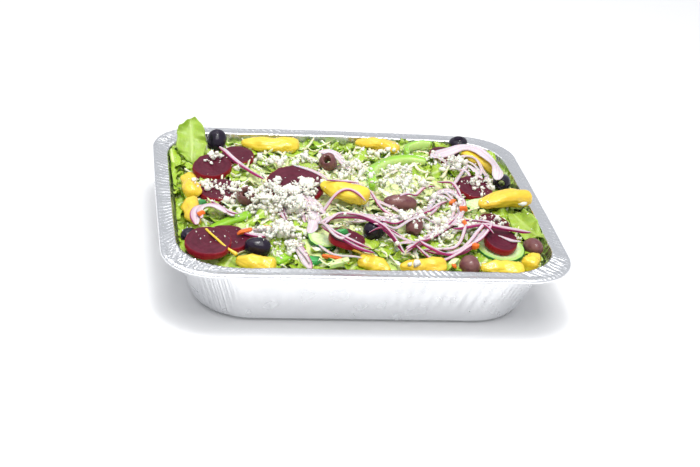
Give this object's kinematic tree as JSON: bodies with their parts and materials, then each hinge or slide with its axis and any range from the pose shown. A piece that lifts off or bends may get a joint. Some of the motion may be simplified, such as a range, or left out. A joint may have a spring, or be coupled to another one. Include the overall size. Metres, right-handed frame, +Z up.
{
  "type": "foil tray meal",
  "caption": "A mixed salad with beet slices, pepperoncini, olives, green pepper, cucumber, crumbled white cheese and red onion in a half-size aluminium foil pan with a rolled rim.",
  "frame": {"origin": "on the table, under the middle of the pan", "axes": "+X along the long side of the pan, +Y to the back long side, +Z up"},
  "size_m": [0.3262, 0.268, 0.0803],
  "materials": {
    "foil": "bright thin foil, fluted walls and a wrinkled rim",
    "lettuce": "moist lettuce with shreds and crumbled white cheese",
    "beet": "wet cooked beet",
    "pepperoncini": "pickled yellow pepper skin",
    "black_olive": "glossy black olive skin",
    "brown_olive": "glossy purple-brown olive skin",
    "green_pepper": "fresh green pepper skin",
    "cucumber": "moist cucumber flesh with dark green skin",
    "red_onion": "translucent onion with a magenta skin"
  },
  "bodies": {
    "root": {"beet_back_left": "beet", "beet_back_left_far": "beet", "beet_back_right": "beet", "beet_front": "beet", "beet_front_left": "beet", "beet_front_left_far": "beet", "beet_front_right": "beet", "beet_left": "beet", "beet_middle": "beet", "beet_right": "beet", "beet_right_slanted": "beet", "cucumber_front": "cucumber", "cucumber_front_middle": "cucumber", "cucumber_front_right": "cucumber", "cucumber_right": "cucumber", "foil_pan": "foil", "lettuce_leaf_back_left": "lettuce", "lettuce_leaf_right": "lettuce", "olive_back_left": "black_olive", "olive_back_right": "black_olive", "olive_brown_back": "brown_olive", "olive_brown_front": "brown_olive", "olive_brown_left": "brown_olive", "olive_brown_long": "brown_olive", "olive_brown_middle": "brown_olive", "olive_brown_right": "brown_olive", "olive_front": "black_olive", "olive_front_left": "black_olive", "olive_left_corner": "black_olive", "olive_ring_back": "black_olive", "onion_arc_front": "red_onion", "onion_arc_middle": "red_onion", "onion_curl_middle": "red_onion", "onion_half_left": "red_onion", "onion_loop_left": "red_onion", "onion_ring_back": "red_onion", "onion_ring_right": "red_onion", "onion_sliver_back": "red_onion", "onion_sliver_left": "red_onion", "onion_teardrop": "red_onion", "onion_top_right": "red_onion", "onion_wedge_front": "red_onion", "pepper_ring_back": "green_pepper", "pepper_strip_back": "green_pepper", "pepper_strip_front": "green_pepper", "pepper_strip_left": "green_pepper", "pepperoncini_back": "pepperoncini", "pepperoncini_back_middle": "pepperoncini", "pepperoncini_back_right": "pepperoncini", "pepperoncini_corner": "pepperoncini", "pepperoncini_front": "pepperoncini", "pepperoncini_front_left": "pepperoncini", "pepperoncini_front_middle": "pepperoncini", "pepperoncini_front_right": "pepperoncini", "pepperoncini_left_back": "pepperoncini", "pepperoncini_left_front": "pepperoncini", "pepperoncini_middle": "pepperoncini", "pepperoncini_right": "pepperoncini", "salad": "lettuce"}
  },
  "joints": []
}
